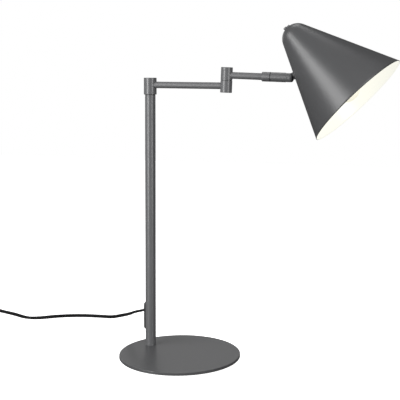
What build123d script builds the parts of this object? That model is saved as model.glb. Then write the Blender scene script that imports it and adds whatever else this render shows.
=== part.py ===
from build123d import *
from math import acos, atan2, cos, degrees, pi, radians, sin, sqrt, tan
import os

# Architect desk lamp, millimetres, +Z up. The origin is the centre of the foot pad's underside, on the table.
# At rest both arms lie along +X, in one upright plane through the post, and the shade looks down and forward.

# Base
base_radius = 90.0
pad_radius = 84.0
pad_thickness = 1.0
plate_thickness = 4.0
plate_edge = 0.6
foot_insert_height = 18.0
bolt_radius = 3.0
bolt_head_radius = 6.0
bolt_clearance = 0.2
bolt_length = 18.0
bolt_socket_radius = 2.3
bolt_socket_depth = 2.0

# Post, at the rim side of the base
post_x = -58.2
post_y = 21.6
post_radius = 8.0
post_bore_radius = 6.8
post_top = 389.4

# Running fits and small shared sizes
running_gap = 0.05
edge_break = 0.4
grub_radius = 1.5
grub_socket_radius = 0.9
grub_socket_depth = 1.2
grub_tip_clearance = 0.25
screw_clearance = 0.1
screw_slot_width = 0.7
screw_slot_depth = 0.8
wire_radius = 2.3

# Collar that turns on the post
spigot_depth = 22.0
spigot_journal_radius = 6.0
spigot_journal_height = 9.8
spigot_bore_radius = 3.5
groove_depth = 0.8
groove_half_height = 1.65
collar_washer_radius = 7.8
collar_washer_thickness = 0.6
collar_radius = 9.75
collar_height = 25.6
collar_roof = 4.0
collar_grub_height = 4.7
collar_grub_length = 3.4

# Arms
rod_radius = 5.0
rod_bore_radius = 3.7
lower_rod_height = 404.8
lower_rod_start = 6.5
elbow_reach = 124.4
lower_rod_drop = 1.6

# Elbow, two drums of one diameter on a hollow pivot
elbow_height = 411.3
elbow_lean = 2.4
drum_radius = 8.7
drum_bottom = -18.2
drum_top = 19.4
elbow_washer_half = 0.3
elbow_washer_radius = 8.1
pivot_radius = 4.5
pivot_bore_radius = 3.0
pivot_thread_radius = 4.0
drum_cap_radius = 7.0
drum_cap_thickness = 1.4
pivot_shoulder = 13.5
pivot_top = 17.3
spring_washer_thickness = 0.6
spring_washer_radius = 6.3
elbow_nut_height = 3.0
elbow_nut_across = 11.0
rod_insertion = 3.5
wire_window_radius = 2.8
pivot_window_low = 5.0
pivot_window_high = 10.2

# Upper arm, ring and swivel barrel, as distances from the elbow axis
upper_rod_height = 7.6
ring_start = 55.4
ring_end = 68.0
ring_radius = 7.0
upper_rod_end = 61.4
swivel_washer_radius = 5.8
barrel_start = 68.8
barrel_end = 102.1
barrel_radius = 6.9
barrel_end_round = 4.0
swivel_journal_radius = 4.5
swivel_journal_end = 86.0
swivel_bore_radius = 2.75
barrel_bore_end = 86.5
barrel_grub_at = 77.0
barrel_grub_length = 2.6
tilt_axis_at = 96.0
tilt_slot_start = 90.5
tilt_slot_half = 2.3
tilt_screw_radius = 2.0
tilt_screw_half = 6.5

# Tilt tongue, measured from the tilt axis
tongue_rise = 20.9
tongue_half = 2.2
tongue_root_radius = 5.0
tongue_half_height = 5.0
tongue_reach = 9.0
flange_start = 7.4
flange_radius = 5.6
stub_radius = 4.0
stub_end = 15.0
stub_bore_radius = 2.5
stub_bore_start = 4.6
tongue_nut_gap = 1.2
tongue_nut_height = 3.0
tongue_nut_across = 12.0

# Shade, a spun cone with a domed crown; heights run along its axis from the cone's virtual tip
shade_half_angle = 23.8
shade_wall = 0.8
crown_radius = 22.5
mouth_radius = 79.2
tongue_slant = 98.3
crown_screw_offset = 3.3
crown_screw_turn = 130.0
crown_screw_radius = 1.5
crown_screw_head_radius = 2.5
crown_screw_head_height = 2.0

# Lampholder and bulb, heights along the shade's axis
stem_flange_radius = 7.4
stem_flange_start = 35.7
stem_flange_end = 39.0
stem_radius = 5.0
stem_end = 66.0
holder_boss_start = 60.0
holder_boss_radius = 8.0
holder_shoulder_start = 68.0
holder_shoulder_end = 74.0
holder_radius = 13.5
holder_end = 118.0
holder_bore_radius = 8.5
holder_bore_start = 93.0
sleeve_start = 94.0
sleeve_end = 112.0
cap_radius = 7.0
cap_start = 98.0
cap_end = 118.0
cap_contact_radius = 2.5
cap_contact_height = 1.5
cap_taper = 2.0
bulb_centre = 152.0
bulb_radius = 22.5
bulb_wall = 1.0
bulb_neck_radius = 8.5
bulb_neck_height = 120.5
lead_radius = 1.8
lead_entry_height = 80.0

# Cord outlet low on the back of the post
outlet_azimuth = 159.6
outlet_low = 27.5
outlet_high = 70.0
outlet_width = 9.4
outlet_proud = 3.0
outlet_root = 2.0
outlet_edge = 1.2
outlet_screw_height = 36.0
outlet_screw_radius = 1.5
outlet_screw_head_radius = 2.75
outlet_screw_head_height = 1.4
outlet_screw_sink = 1.0
exit_slope = 14.0
exit_height = 59.55
exit_reach = 12.6
exit_lip_length = 8.4
exit_lip_width = 6.4
wire_bend = 5.0
exit_straight = 24.0

# Cord, a flat two-core lead drawn as a round tube, lying on the table at its own radius
cord_radius = 2.3
cord_low = cord_radius
bend_share = 0.45
switch_straight = 20.0
tail_straight = 14.0
plug_straight = 18.0

# Inline switch
switch_heading = 176.0
switch_length = 62.0
switch_width = 27.0
switch_corner = 11.0
switch_split = 7.5
switch_height = 16.0
switch_wall = 1.8
switch_edge = 2.5
switch_cord_height = 7.0
rocker_axis_height = 12.2
rocker_half_length = 10.0
rocker_half_width = 5.2
rocker_tilt = 7.0
rocker_low = -2.6
rocker_end_high = 4.4
rocker_dish_high = 3.2
rocker_dish_half = 4.5
rocker_pin_radius = 1.0
rocker_pin_half = 7.2
rocker_window = (21.4, 11.2)
rib_centre = 6.5
rib_half = 0.7
rib_length = 6.0
rib_drop = 3.0
shell_screw_places = [(22.0, -7.6), (-22.0, 7.6)]
shell_screw_radius = 1.25
shell_screw_head_radius = 2.3
shell_screw_recess = 0.3
shell_boss_radius = 2.7
contact_along = 13.0
contact_aside = 6.0
contact_size = (9.0, 4.5, 4.5)

# Put-away coil
coil_mean_radius = 29.6
coil_half_width = 8.55
coil_floor = 1.0
coil_height = 11.6
coil_lead_in = 30.0
tie_thickness = 0.9
tie_width = 9.0
tie_azimuth = 150.0

# Plug
plug_heading = -12.0
plug_axis_height = 6.85
plug_relief_length = 22.0
plug_relief_tip = 3.2
plug_relief_root = 5.0
plug_ribs = 5
plug_rib_start = 3.0
plug_rib_pitch = 3.6
plug_rib_width = 2.2
plug_rib_radius = 3.5
plug_rib_growth = 0.3
plug_rib_depth = 0.6
plug_neck_size = (16.0, 10.6)
plug_width = 33.5
plug_shoulder = 38.0
plug_face = 57.0
plug_pin_spacing = 18.6
plug_pin_radius = 2.0
plug_pin_length = 19.0
plug_pin_taper = 1.0
plug_core_radius = 1.6
plug_sleeve_length = 10.0

base_up = (Align.CENTER, Align.CENTER, Align.MIN)
os.makedirs("parts", exist_ok=True)


# Frames
def tilted(origin, angle):
    """A frame in the arms' upright plane, its X turned down by the angle and its Y along +Y."""
    turn_down = radians(angle)
    along = (cos(turn_down), 0, -sin(turn_down))
    return Plane(origin=origin, x_dir=along, z_dir=(sin(turn_down), 0, cos(turn_down)))


def facing(origin, direction, x_dir=None):
    """A plane at the origin whose Z runs along the direction."""
    return Plane(origin=origin, x_dir=x_dir, z_dir=direction)


post_frame = Plane(origin=(post_x, post_y, 0))
elbow_frame = tilted((post_x + elbow_reach, post_y, elbow_height), elbow_lean)
lower_droop = degrees(atan2(lower_rod_drop, elbow_reach))
lower_rod_frame = tilted((post_x, post_y, lower_rod_height), lower_droop)
base_top = pad_thickness + plate_thickness
collar_bottom = post_top + collar_washer_thickness


def along_lower_arm(distance):
    """The plane across the lower rod at a distance from the post's axis, its Z towards the elbow."""
    centre = lower_rod_frame.from_local_coords((distance, 0, 0))
    return facing(centre, lower_rod_frame.x_dir, lower_rod_frame.y_dir)


def along_upper_arm(distance):
    """The plane across the upper rod at a distance from the elbow's axis, its Z towards the shade."""
    centre = elbow_frame.from_local_coords((distance, 0, upper_rod_height))
    return facing(centre, elbow_frame.x_dir, elbow_frame.y_dir)


def turn(frame, outline, mode=Mode.ADD):
    """Spin a closed (radius, height) outline about the frame's Z axis, into the part being built."""
    with BuildSketch(Plane(origin=frame.origin, x_dir=frame.x_dir, z_dir=-frame.y_dir)) as section:
        with BuildLine():
            Polyline(*outline, close=True)
        make_face()
    revolve(section.sketch, axis=Axis(frame.origin, frame.z_dir), mode=mode)


def bore(plane, radius, depth):
    """Drill a round hole from the plane along its Z, out of the part being built."""
    with Locations(plane):
        Cylinder(radius, depth, align=base_up, mode=Mode.SUBTRACT)


def ring(plane, outer, inner, depth):
    """A tube standing on the plane, added to the part being built."""
    with BuildSketch(plane) as section:
        Circle(outer)
        Circle(inner, mode=Mode.SUBTRACT)
    extrude(section.sketch, amount=depth)


def grub_screw(tip_plane, length):
    """A socket grub screw from its tip outwards, added to the part being built."""
    with Locations(tip_plane):
        Cylinder(grub_radius, length, align=base_up)
    with BuildSketch(tip_plane.offset(length - grub_socket_depth)) as socket:
        RegularPolygon(grub_socket_radius, 6)
    extrude(socket.sketch, amount=grub_socket_depth, mode=Mode.SUBTRACT)


def write(piece, name):
    """Label a finished piece and write its STEP file."""
    piece.part.label = name
    export_step(piece.part, f"parts/{name}.step")


# Base: a solid steel disc on a thin foam pad, which hides the bolt's head
with BuildPart() as base_pad:
    Cylinder(pad_radius, pad_thickness, align=base_up)
write(base_pad, "base_pad")

with BuildPart() as base_plate:
    with BuildSketch(Plane.XY.offset(pad_thickness)):
        Circle(base_radius)
    extrude(amount=plate_thickness)
    fillet(base_plate.edges().group_by(Axis.Z)[-1], plate_edge)
    chamfer(base_plate.edges().group_by(Axis.Z)[0], edge_break)
    with Locations(Plane(origin=(post_x, post_y, pad_thickness), z_dir=(0, 0, -1))):
        CounterSinkHole(bolt_radius + bolt_clearance, bolt_head_radius, counter_sink_angle=90)
write(base_plate, "base_plate")

# Post: a thin steel tube, held down by a countersunk bolt into a plug pressed in its foot
with BuildPart() as post_foot_insert:
    with BuildSketch(post_frame.offset(base_top)):
        Circle(post_bore_radius)
        Circle(bolt_radius, mode=Mode.SUBTRACT)
    extrude(amount=foot_insert_height)
write(post_foot_insert, "post_foot_insert")

head_end = pad_thickness + bolt_head_radius - bolt_radius
bolt_outline = [
    (0, pad_thickness),
    (bolt_head_radius, pad_thickness),
    (bolt_radius, head_end),
    (bolt_radius, pad_thickness + bolt_length),
    (0, pad_thickness + bolt_length),
]
with BuildPart() as post_bolt:
    turn(post_frame, bolt_outline)
    with BuildSketch(post_frame.offset(pad_thickness)):
        RegularPolygon(bolt_socket_radius, 6)
    extrude(amount=bolt_socket_depth, mode=Mode.SUBTRACT)
write(post_bolt, "post_bolt")

outward = Vector(cos(radians(outlet_azimuth)), sin(radians(outlet_azimuth)), 0)
exit_way = outward * cos(radians(exit_slope)) - Vector(0, 0, sin(radians(exit_slope)))
exit_frame = facing((post_x, post_y, exit_height), exit_way)


def on_post(height, radius):
    """The upright plane that touches the post's outlet side at a height and radius, its Z outwards."""
    return facing(Vector(post_x, post_y, height) + outward * radius, outward, Vector(0, 0, 1))


with BuildPart() as post_tube:
    ring(post_frame.offset(base_top), post_radius, post_bore_radius, post_top - base_top)
    bore(exit_frame, wire_radius, post_radius * 1.5)
    bore(on_post(outlet_screw_height, 0), outlet_screw_radius, post_radius * 1.5)
write(post_tube, "post_tube")

# Spigot pressed in the post's top: the collar turns on its journal, and a grub screw runs in its groove
journal_top = post_top + spigot_journal_height
groove_middle = collar_bottom + collar_grub_height
spigot_outline = [
    (spigot_bore_radius, post_top - spigot_depth),
    (post_bore_radius, post_top - spigot_depth),
    (post_bore_radius, post_top),
    (spigot_journal_radius, post_top),
    (spigot_journal_radius, groove_middle - groove_half_height),
    (spigot_journal_radius - groove_depth, groove_middle - groove_half_height),
    (spigot_journal_radius - groove_depth, groove_middle + groove_half_height),
    (spigot_journal_radius, groove_middle + groove_half_height),
    (spigot_journal_radius, journal_top),
    (spigot_bore_radius, journal_top),
]
with BuildPart() as post_spigot:
    turn(post_frame, spigot_outline)
write(post_spigot, "post_spigot")

with BuildPart() as collar_washer:
    inner = spigot_journal_radius + running_gap
    ring(post_frame.offset(post_top), collar_washer_radius, inner, collar_washer_thickness)
write(collar_washer, "collar_washer")

# Collar: a turned cup over the spigot, with the lower rod screwed into its side
collar_top = collar_bottom + collar_height
collar_bore_radius = spigot_journal_radius + running_gap
collar_outline = [
    (collar_bore_radius, collar_bottom),
    (collar_radius - edge_break, collar_bottom),
    (collar_radius, collar_bottom + edge_break),
    (collar_radius, collar_top - edge_break),
    (collar_radius - edge_break, collar_top),
    (0, collar_top),
    (0, collar_top - collar_roof),
    (collar_bore_radius, collar_top - collar_roof),
]
collar_grub_tip = spigot_journal_radius - groove_depth + grub_tip_clearance
collar_grub_plane = facing((post_x, post_y + collar_grub_tip, groove_middle), (0, 1, 0))
with BuildPart() as post_collar:
    turn(post_frame, collar_outline)
    bore(along_lower_arm(collar_bore_radius - 2), rod_radius, collar_radius)
    bore(collar_grub_plane, grub_radius, collar_radius)
write(post_collar, "post_collar")

with BuildPart() as collar_grub_screw:
    grub_screw(collar_grub_plane, collar_grub_length)
write(collar_grub_screw, "collar_grub_screw")

# Lower arm rod, between the collar and the elbow's lower drum
lower_rod_end = elbow_reach - drum_radius + rod_insertion
with BuildPart() as lower_rod:
    ring(along_lower_arm(lower_rod_start), rod_radius, rod_bore_radius, lower_rod_end - lower_rod_start)
write(lower_rod, "lower_rod")

# Elbow: the lower drum carries the hollow pivot, and the upper drum turns on it over a plastic washer
lower_drum_outline = [
    (pivot_radius, drum_bottom + drum_cap_thickness),
    (drum_cap_radius, drum_bottom + drum_cap_thickness),
    (drum_cap_radius, drum_bottom),
    (drum_radius - edge_break, drum_bottom),
    (drum_radius, drum_bottom + edge_break),
    (drum_radius, -elbow_washer_half),
    (pivot_radius, -elbow_washer_half),
]
with BuildPart() as elbow_lower_drum:
    turn(elbow_frame, lower_drum_outline)
    bore(along_lower_arm(elbow_reach - drum_radius - rod_radius), rod_radius, rod_radius + rod_insertion)
    bore(along_lower_arm(lower_rod_end), wire_window_radius, rod_insertion)
write(elbow_lower_drum, "elbow_lower_drum")

pivot_outline = [
    (pivot_bore_radius, drum_bottom + drum_cap_thickness),
    (pivot_radius, drum_bottom + drum_cap_thickness),
    (pivot_radius, pivot_shoulder),
    (pivot_thread_radius, pivot_shoulder),
    (pivot_thread_radius, pivot_top),
    (pivot_bore_radius, pivot_top),
]
window_height = pivot_window_high - pivot_window_low
window_centre = elbow_frame.from_local_coords((pivot_radius, 0, (pivot_window_high + pivot_window_low) / 2))
with BuildPart() as elbow_pivot:
    turn(elbow_frame, pivot_outline)
    bore(along_lower_arm(lower_rod_end - rod_insertion), wire_window_radius, drum_radius)
    with Locations(Plane(origin=window_centre, x_dir=elbow_frame.x_dir, z_dir=elbow_frame.z_dir)):
        Box(2 * pivot_radius, 3 * pivot_radius, window_height, mode=Mode.SUBTRACT)
write(elbow_pivot, "elbow_pivot")

with BuildPart() as elbow_bottom_cap:
    with Locations(elbow_frame.offset(drum_bottom)):
        Cylinder(drum_cap_radius, drum_cap_thickness, align=base_up)
write(elbow_bottom_cap, "elbow_bottom_cap")

with BuildPart() as elbow_washer:
    inner = pivot_radius + running_gap
    ring(elbow_frame.offset(-elbow_washer_half), elbow_washer_radius, inner, 2 * elbow_washer_half)
write(elbow_washer, "elbow_washer")

with BuildPart() as elbow_spring_washer:
    inner = pivot_thread_radius + screw_clearance
    ring(elbow_frame.offset(pivot_shoulder), spring_washer_radius, inner, spring_washer_thickness)
write(elbow_spring_washer, "elbow_spring_washer")

with BuildPart() as elbow_nut:
    with BuildSketch(elbow_frame.offset(pivot_shoulder + spring_washer_thickness)):
        RegularPolygon(elbow_nut_across / 2, 6, major_radius=False)
        Circle(pivot_thread_radius, mode=Mode.SUBTRACT)
    extrude(amount=elbow_nut_height)
write(elbow_nut, "elbow_nut")

upper_bore_radius = pivot_radius + running_gap
upper_drum_outline = [
    (upper_bore_radius, elbow_washer_half),
    (drum_radius, elbow_washer_half),
    (drum_radius, drum_top - edge_break),
    (drum_radius - edge_break, drum_top),
    (drum_cap_radius, drum_top),
    (drum_cap_radius, pivot_shoulder),
    (upper_bore_radius, pivot_shoulder),
]
upper_rod_start = drum_radius - rod_insertion
with BuildPart() as elbow_upper_drum:
    turn(elbow_frame, upper_drum_outline)
    bore(along_upper_arm(upper_rod_start), rod_radius, drum_radius)
    bore(along_upper_arm(0), wire_window_radius, drum_radius)
write(elbow_upper_drum, "elbow_upper_drum")

with BuildPart() as elbow_top_cap:
    with Locations(elbow_frame.offset(drum_top - drum_cap_thickness)):
        Cylinder(drum_cap_radius, drum_cap_thickness, align=base_up)
write(elbow_top_cap, "elbow_top_cap")

# Upper arm rod and the fixed ring at its end
with BuildPart() as upper_rod:
    ring(along_upper_arm(upper_rod_start), rod_radius, rod_bore_radius, upper_rod_end - upper_rod_start)
write(upper_rod, "upper_rod")

arm_frame = along_upper_arm(0)
ring_outline = [
    (rod_radius, ring_start),
    (ring_radius - edge_break, ring_start),
    (ring_radius, ring_start + edge_break),
    (ring_radius, ring_end),
    (rod_radius, ring_end),
]
with BuildPart() as swivel_ring:
    turn(arm_frame, ring_outline)
write(swivel_ring, "swivel_ring")

swivel_groove_radius = swivel_journal_radius - groove_depth
swivel_outline = [
    (swivel_bore_radius, upper_rod_end),
    (rod_radius, upper_rod_end),
    (rod_radius, ring_end),
    (swivel_journal_radius, ring_end),
    (swivel_journal_radius, barrel_grub_at - groove_half_height),
    (swivel_groove_radius, barrel_grub_at - groove_half_height),
    (swivel_groove_radius, barrel_grub_at + groove_half_height),
    (swivel_journal_radius, barrel_grub_at + groove_half_height),
    (swivel_journal_radius, swivel_journal_end),
    (swivel_bore_radius, swivel_journal_end),
]
with BuildPart() as swivel_spigot:
    turn(arm_frame, swivel_outline)
write(swivel_spigot, "swivel_spigot")

with BuildPart() as swivel_washer:
    inner = swivel_journal_radius + running_gap
    ring(along_upper_arm(ring_end), swivel_washer_radius, inner, barrel_start - ring_end)
write(swivel_washer, "swivel_washer")

# Swivel barrel: turned, rounded at its end and slotted upright for the tilt tongue
barrel_bore_radius = swivel_journal_radius + running_gap
barrel_outline = [
    (barrel_bore_radius, barrel_start),
    (barrel_radius - edge_break, barrel_start),
    (barrel_radius, barrel_start + edge_break),
    (barrel_radius, barrel_end),
    (0, barrel_end),
    (0, barrel_bore_end),
    (barrel_bore_radius, barrel_bore_end),
]
barrel_grub_tip = swivel_groove_radius + grub_tip_clearance
grub_point = elbow_frame.from_local_coords((barrel_grub_at, barrel_grub_tip, upper_rod_height))
barrel_grub_plane = facing(grub_point, elbow_frame.y_dir)
tilt_centre = along_upper_arm(tilt_axis_at).origin
tilt_plane = facing(tilt_centre, elbow_frame.y_dir)
slot_length = barrel_end - tilt_slot_start
with BuildPart() as swivel_barrel:
    turn(arm_frame, barrel_outline)
    circles = swivel_barrel.edges().filter_by(GeomType.CIRCLE)
    fillet(circles.sort_by(Axis(arm_frame.origin, arm_frame.z_dir))[-1], barrel_end_round)
    bore(along_upper_arm(barrel_bore_end), swivel_bore_radius, tilt_slot_start - barrel_bore_end + 1)
    with Locations(along_upper_arm(tilt_slot_start)):
        Box(2 * tilt_slot_half, 3 * barrel_radius, 2 * slot_length, align=base_up, mode=Mode.SUBTRACT)
    bore(tilt_plane.offset(-2 * barrel_radius), tilt_screw_radius, 4 * barrel_radius)
    bore(barrel_grub_plane, grub_radius, barrel_radius)
write(swivel_barrel, "swivel_barrel")

with BuildPart() as barrel_grub_screw:
    grub_screw(barrel_grub_plane, barrel_grub_length)
write(barrel_grub_screw, "barrel_grub_screw")

with BuildPart() as tilt_screw:
    with Locations(tilt_plane):
        Cylinder(tilt_screw_radius, 2 * tilt_screw_half)
    with Locations(tilt_plane.offset(tilt_screw_half)):
        Box(3 * tilt_screw_radius, screw_slot_width, 2 * screw_slot_depth, mode=Mode.SUBTRACT)
write(tilt_screw, "tilt_screw")

# Tongue and shade frames: the tongue stands square to the cone's wall
tongue_frame = tilted(tilt_centre, -tongue_rise)
half_angle = radians(shade_half_angle)
tip = tongue_frame.from_local_coords((tongue_reach, 0, tongue_slant))
shade_axis = tongue_frame.x_dir * sin(half_angle) - tongue_frame.z_dir * cos(half_angle)
shade_side = -tongue_frame.x_dir * cos(half_angle) - tongue_frame.z_dir * sin(half_angle)
shade_frame = Plane(origin=tip, x_dir=shade_side, z_dir=shade_axis)
mouth_height = mouth_radius / tan(half_angle)
crown_centre = crown_radius / sin(half_angle)
crown_sweep = 90 - shade_half_angle


def along_tongue(distance):
    """The plane across the tongue at a distance from the tilt axis, its Z into the shade."""
    return facing(tongue_frame.from_local_coords((distance, 0, 0)), tongue_frame.x_dir, tongue_frame.y_dir)


with BuildPart() as tilt_tongue:
    with BuildSketch(Plane(origin=tilt_centre, x_dir=tongue_frame.x_dir, z_dir=-tongue_frame.y_dir)):
        Circle(tongue_root_radius)
        with Locations((flange_start / 2, 0)):
            Rectangle(flange_start, 2 * tongue_half_height)
    extrude(amount=tongue_half, both=True)
    with Locations(along_tongue(flange_start)):
        Cylinder(flange_radius, tongue_reach - flange_start + 1, align=base_up)
    turn(shade_frame, [(0, 0), (mouth_radius, mouth_height), (0, mouth_height)], mode=Mode.SUBTRACT)
    with Locations(along_tongue(flange_start)):
        Cylinder(stub_radius, stub_end - flange_start, align=base_up)
    bore(along_tongue(stub_bore_start), stub_bore_radius, stub_end)
    bore(tilt_plane.offset(-2 * tongue_half), tilt_screw_radius + running_gap, 4 * tongue_half)
write(tilt_tongue, "tilt_tongue")

with BuildPart() as tongue_nut:
    with BuildSketch(along_tongue(tongue_reach + shade_wall + tongue_nut_gap)):
        RegularPolygon(tongue_nut_across / 2, 6, major_radius=False)
        Circle(stub_radius, mode=Mode.SUBTRACT)
    extrude(amount=tongue_nut_height)
write(tongue_nut, "tongue_nut")

screw_places = []
for side in (0, 180):
    bearing = radians(crown_screw_turn + side)
    screw_places.append((crown_screw_offset * cos(bearing), crown_screw_offset * sin(bearing)))
crown_top = crown_centre - crown_radius

with BuildPart() as shade:
    with BuildSketch(Plane(origin=tip, x_dir=shade_side, z_dir=-shade_frame.y_dir)):
        with BuildLine():
            outer_crown = CenterArc((0, crown_centre), crown_radius, -90, crown_sweep)
            inner_crown = CenterArc((0, crown_centre), crown_radius - shade_wall, -90, crown_sweep)
            lip = mouth_radius - shade_wall / cos(half_angle)
            Polyline(outer_crown @ 1, (mouth_radius, mouth_height), (lip, mouth_height), inner_crown @ 1)
            Line(outer_crown @ 0, inner_crown @ 0)
        make_face()
    revolve(axis=Axis(tip, shade_axis))
    bore(along_tongue(flange_start), stub_radius + screw_clearance, stub_end)
    for x, y in screw_places:
        place = shade_frame.from_local_coords((x, y, crown_top - 1))
        bore(facing(place, shade_axis), crown_screw_radius + screw_clearance, crown_radius)
write(shade, "shade")

# Crown screws, two round heads on the dome that hold the lampholder's stem
crown_screw_length = crown_screw_head_height + stem_flange_end - crown_top
with BuildPart() as crown_screws:
    for x, y in screw_places:
        head = facing(shade_frame.from_local_coords((x, y, crown_top - crown_screw_head_height)), shade_axis)
        with Locations(head):
            Cylinder(crown_screw_head_radius, crown_screw_head_height, align=base_up)
            Cylinder(crown_screw_radius, crown_screw_length, align=base_up)
            Box(3 * crown_screw_head_radius, screw_slot_width, 2 * screw_slot_depth, mode=Mode.SUBTRACT)
write(crown_screws, "crown_screws")

stem_outline = [
    (0, stem_flange_start),
    (stem_flange_radius, stem_flange_start),
    (stem_flange_radius, stem_flange_end),
    (stem_radius, stem_flange_end),
    (stem_radius, stem_end),
    (0, stem_end),
]
with BuildPart() as holder_stem:
    turn(shade_frame, stem_outline)
    for x, y in screw_places:
        place = shade_frame.from_local_coords((x, y, stem_flange_start))
        bore(facing(place, shade_axis), crown_screw_radius, stem_flange_end - stem_flange_start)
write(holder_stem, "holder_stem")

holder_outline = [
    (stem_radius, holder_boss_start),
    (holder_boss_radius, holder_boss_start),
    (holder_boss_radius, holder_shoulder_start),
    (holder_radius, holder_shoulder_end),
    (holder_radius, holder_end),
    (holder_bore_radius, holder_end),
    (holder_bore_radius, holder_bore_start),
    (0, holder_bore_start),
    (0, stem_end),
    (stem_radius, stem_end),
]
with BuildPart() as lampholder:
    turn(shade_frame, holder_outline)
write(lampholder, "lampholder")

with BuildPart() as lampholder_sleeve:
    ring(shade_frame.offset(sleeve_start), holder_bore_radius, cap_radius, sleeve_end - sleeve_start)
write(lampholder_sleeve, "lampholder_sleeve")

cap_outline = [
    (0, cap_start - cap_contact_height),
    (cap_contact_radius, cap_start - cap_contact_height),
    (cap_contact_radius, cap_start),
    (cap_radius, cap_start + cap_taper),
    (cap_radius, cap_end),
    (0, cap_end),
]
with BuildPart() as bulb_cap:
    turn(shade_frame, cap_outline)
write(bulb_cap, "bulb_cap")


def neck_contact(radius, neck_radius):
    """The bearing, from the bulb's centre, at which a line from the neck's end touches its circle."""
    away = bulb_centre - bulb_neck_height
    distance = sqrt(neck_radius**2 + away**2)
    return degrees(atan2(-away, neck_radius)) + degrees(acos(radius / distance))


with BuildPart() as bulb_glass:
    with BuildSketch(Plane(origin=tip, x_dir=shade_side, z_dir=-shade_frame.y_dir)):
        with BuildLine():
            outer_start = neck_contact(bulb_radius, bulb_neck_radius)
            inner_radius = bulb_radius - bulb_wall
            inner_start = neck_contact(inner_radius, bulb_neck_radius - bulb_wall)
            outer_glass = CenterArc((0, bulb_centre), bulb_radius, outer_start, 90 - outer_start)
            inner_glass = CenterArc((0, bulb_centre), inner_radius, inner_start, 90 - inner_start)
            outer_neck = (bulb_neck_radius, bulb_neck_height)
            inner_neck = (bulb_neck_radius - bulb_wall, bulb_neck_height)
            cap_rim = (cap_radius, cap_end)
            cap_inner = (cap_radius - bulb_wall, cap_end)
            Polyline(outer_glass @ 0, outer_neck, cap_rim, cap_inner, inner_neck, inner_glass @ 0)
            Line(outer_glass @ 1, inner_glass @ 1)
        make_face()
    revolve(axis=Axis(tip, shade_axis))
write(bulb_glass, "bulb_glass")

# Lead from the tongue's stub to the lampholder's side, (distance from the axis, height) in the arms' plane
stub_mouth = shade_frame.to_local_coords(along_tongue(stub_end).origin)
lead_places = [
    (stub_mouth.X, stub_mouth.Z),
    (29.0, 94.6),
    (24.6, 91.6),
    (23.2, 85.6),
    (19.4, lead_entry_height),
    (holder_radius, lead_entry_height),
]
lead_points = [shade_frame.from_local_coords((x, 0, z)) for x, z in lead_places]


def corner_radii(points):
    """One arc radius for each corner: a share of the shorter run over the tangent of half the turn."""
    radii = []
    for before, corner, after in zip(points, points[1:], points[2:]):
        arrive = Vector(*corner) - Vector(*before)
        leave = Vector(*after) - Vector(*corner)
        half_turn = radians(arrive.get_angle(leave)) / 2
        radii.append(bend_share * min(arrive.length, leave.length) / tan(half_turn))
    return radii


def flex(points, radius):
    """A round flexible lead along straight runs joined by tangent arcs, added to the part being built."""
    radii = corner_radii(points)
    with BuildLine():
        path = FilletPolyline(*points, radius=radii)
    with BuildSketch(facing(path @ 0, path % 0)) as section:
        Circle(radius)
    sweep(section.sketch, path=path)
    return path.length, radii


with BuildPart() as holder_lead:
    flex([tuple(point) for point in lead_points], lead_radius)
write(holder_lead, "holder_lead")

# Wires inside the post and the two rods; the loops through the turning joints are left out
exit_point = exit_frame.from_local_coords((0, 0, exit_reach))
wire_top = (post_x, post_y, journal_top - 1)
with BuildPart() as post_wire:
    with BuildLine():
        wire_path = FilletPolyline(exit_point, exit_frame.origin, wire_top, radius=wire_bend)
    with BuildSketch(facing(exit_point, -exit_way)):
        Circle(wire_radius)
    sweep(path=wire_path)
write(post_wire, "post_wire")

with BuildPart() as lower_arm_wire:
    with Locations(along_lower_arm(lower_rod_start + 2)):
        Cylinder(wire_radius, lower_rod_end - lower_rod_start - 2, align=base_up)
write(lower_arm_wire, "lower_arm_wire")

with BuildPart() as upper_arm_wire:
    with Locations(along_upper_arm(upper_rod_start)):
        Cylinder(wire_radius, swivel_journal_end - upper_rod_start, align=base_up)
write(upper_arm_wire, "upper_arm_wire")

# Cord outlet: a moulded saddle on the post, with a lip round the cord and one fixing screw below it
outlet_middle = (outlet_low + outlet_high) / 2
outlet_screw_seat = post_radius + outlet_proud - outlet_screw_sink
with BuildPart() as cord_outlet:
    with BuildSketch(on_post(outlet_middle, post_radius - outlet_root)):
        SlotOverall(outlet_high - outlet_low, outlet_width)
    extrude(amount=outlet_root + outlet_proud)
    fillet(cord_outlet.faces().sort_by(Axis((0, 0, 0), outward))[-1].edges(), outlet_edge)
    lip_root = post_radius + 1
    with BuildSketch(facing(exit_frame.from_local_coords((0, 0, lip_root)), exit_way, Vector(0, 0, 1))):
        SlotOverall(exit_lip_length, exit_lip_width, rotation=90)
    extrude(amount=exit_reach - lip_root)
    with Locations((post_x, post_y, 0)):
        Cylinder(post_radius, 2 * outlet_high, align=base_up, mode=Mode.SUBTRACT)
    bore(exit_frame, wire_radius, 2 * exit_reach)
    bore(on_post(outlet_screw_height, 0), outlet_screw_radius, 2 * post_radius)
    bore(on_post(outlet_screw_height, outlet_screw_seat), outlet_screw_head_radius, post_radius)
write(cord_outlet, "cord_outlet")

with BuildPart() as outlet_screw:
    with Locations(on_post(outlet_screw_height, post_bore_radius - 1)):
        Cylinder(outlet_screw_radius, outlet_screw_seat + 1 - post_bore_radius, align=base_up)
    with Locations(on_post(outlet_screw_height, outlet_screw_seat)):
        Cylinder(outlet_screw_head_radius, outlet_screw_head_height, align=base_up)
    with Locations(on_post(outlet_screw_height, outlet_screw_seat + outlet_screw_head_height)):
        Box(screw_slot_width, 3 * outlet_screw_head_radius, 2 * screw_slot_depth, mode=Mode.SUBTRACT)
write(outlet_screw, "outlet_screw")

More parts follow.
